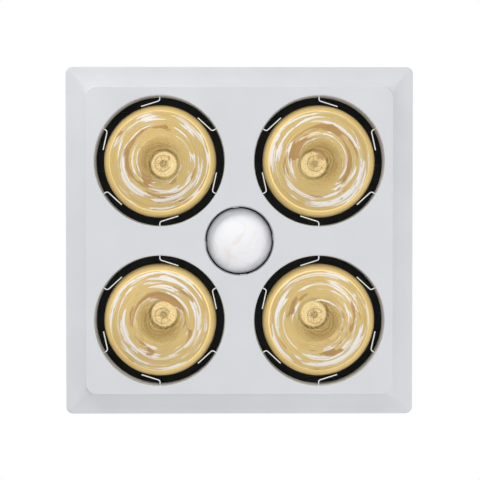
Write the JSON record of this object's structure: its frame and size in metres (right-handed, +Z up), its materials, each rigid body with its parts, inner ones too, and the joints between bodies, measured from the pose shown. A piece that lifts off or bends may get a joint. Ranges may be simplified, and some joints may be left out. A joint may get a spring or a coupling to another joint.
{
  "type": "bathroom ceiling heater",
  "caption": "Recessed bathroom ceiling heater with infrared lamps, a centre light and a ducted extractor fan in one square fascia.",
  "frame": {"origin": "centre of the four ceiling screw holes, at the ceiling plane", "axes": "+Z up into the roof, +X towards the duct spigot, +Y towards the back pair of lamps"},
  "size_m": [0.4075, 0.385, 0.2985],
  "materials": {
    "fascia_white": "satin moulded white",
    "guard_wire": "bright drawn wire",
    "gold_glass": "amber-gold clear dome with a mirrored bowl",
    "frosted_glass": "frosted white",
    "lamp_cap": "plain drawn",
    "lamp_stem": "clear stem with dark wires",
    "galvanised_steel": "galvanised",
    "black_paint": "matt heat-resistant black",
    "porcelain": "glazed",
    "brass": "plain",
    "zinc_screw": "zinc plated",
    "fan_plastic": "moulded",
    "impeller_plastic": "moulded",
    "motor_steel": "laminated and varnished",
    "coil_tape": "taped winding",
    "shaft_steel": "ground",
    "rubber": "moulded",
    "terminal_plastic": "moulded",
    "lead_sleeve": "braided heat sleeve",
    "duct_plastic": "moulded"
  },
  "bodies": {
    "casing": {"cable_gland": "terminal_plastic", "centre_holder_bracket": "galvanised_steel", "centre_lampholder": "porcelain", "clip_rivets": "zinc_screw", "damper_pin": "shaft_steel", "duct_adaptor": "duct_plastic", "duct_screws": "zinc_screw", "fan_cover": "galvanised_steel", "fan_screws": "zinc_screw", "fan_scroll": "fan_plastic", "fascia_clips": "shaft_steel", "heat_shield": "black_paint", "housing": "galvanised_steel", "lamp_leads": "lead_sleeve", "lampholder_back_left": "porcelain", "lampholder_back_right": "porcelain", "lampholder_contacts": "brass", "lampholder_front_left": "porcelain", "lampholder_front_right": "porcelain", "lampholder_shells": "brass", "motor_bearings": "brass", "motor_bracket_lower": "galvanised_steel", "motor_bracket_upper": "galvanised_steel", "motor_coil": "coil_tape", "motor_grommets": "rubber", "motor_lead": "lead_sleeve", "motor_screws": "zinc_screw", "motor_stator": "motor_steel", "panel_screws": "zinc_screw", "shield_screws": "zinc_screw", "terminal_block": "terminal_plastic", "terminal_box": "galvanised_steel", "terminal_cover": "galvanised_steel", "terminal_screws": "zinc_screw", "wiring_grommet": "rubber"},
    "fascia_frame": {"fascia": "fascia_white", "guard_wires_centre": "guard_wire", "guard_wires_front_left": "guard_wire", "guard_wires_front_right": "guard_wire", "guard_wires_back_left": "guard_wire", "guard_wires_back_right": "guard_wire"},
    "fan_rotor": {"impeller": "impeller_plastic", "motor_shaft": "shaft_steel", "motor_rotor": "motor_steel"},
    "damper": {"damper_flap": "fan_plastic"},
    "centre_lamp": {"centre_lamp_glass": "frosted_glass", "centre_lamp_cap": "lamp_cap", "centre_lamp_filament": "lamp_stem"},
    "lamp_front_left": {"heat_lamp_glass_front_left": "gold_glass", "heat_lamp_cap_front_left": "lamp_cap", "heat_lamp_filament_front_left": "lamp_stem"},
    "lamp_front_right": {"heat_lamp_glass_front_right": "gold_glass", "heat_lamp_cap_front_right": "lamp_cap", "heat_lamp_filament_front_right": "lamp_stem"},
    "lamp_back_left": {"heat_lamp_glass_back_left": "gold_glass", "heat_lamp_cap_back_left": "lamp_cap", "heat_lamp_filament_back_left": "lamp_stem"},
    "lamp_back_right": {"heat_lamp_glass_back_right": "gold_glass", "heat_lamp_cap_back_right": "lamp_cap", "heat_lamp_filament_back_right": "lamp_stem"}
  },
  "joints": [
    {"name": "fascia_pull", "type": "slide", "parent": "casing", "child": "fascia_frame", "axis": [0, 0, -1], "range_m": [0, 0.05]},
    {"name": "fan_spin", "type": "hinge", "parent": "casing", "child": "fan_rotor", "pos_m": [0, 0, 0.2], "axis": [0, 0, 1], "continuous": true},
    {"name": "damper_swing", "type": "hinge", "parent": "casing", "child": "damper", "pos_m": [0.1238, 0.0665, 0.218], "axis": [0, -1, 0], "range_deg": [0, 70]},
    {"name": "lamp_out_front_left", "type": "slide", "parent": "casing", "child": "lamp_front_left", "axis": [0, 0, -1], "range_m": [0, 0.18]},
    {"name": "lamp_out_front_right", "type": "slide", "parent": "casing", "child": "lamp_front_right", "axis": [0, 0, -1], "range_m": [0, 0.18]},
    {"name": "lamp_out_back_left", "type": "slide", "parent": "casing", "child": "lamp_back_left", "axis": [0, 0, -1], "range_m": [0, 0.18]},
    {"name": "lamp_out_back_right", "type": "slide", "parent": "casing", "child": "lamp_back_right", "axis": [0, 0, -1], "range_m": [0, 0.18]},
    {"name": "centre_lamp_out", "type": "slide", "parent": "casing", "child": "centre_lamp", "axis": [0, 0, -1], "range_m": [0, 0.125]}
  ]
}
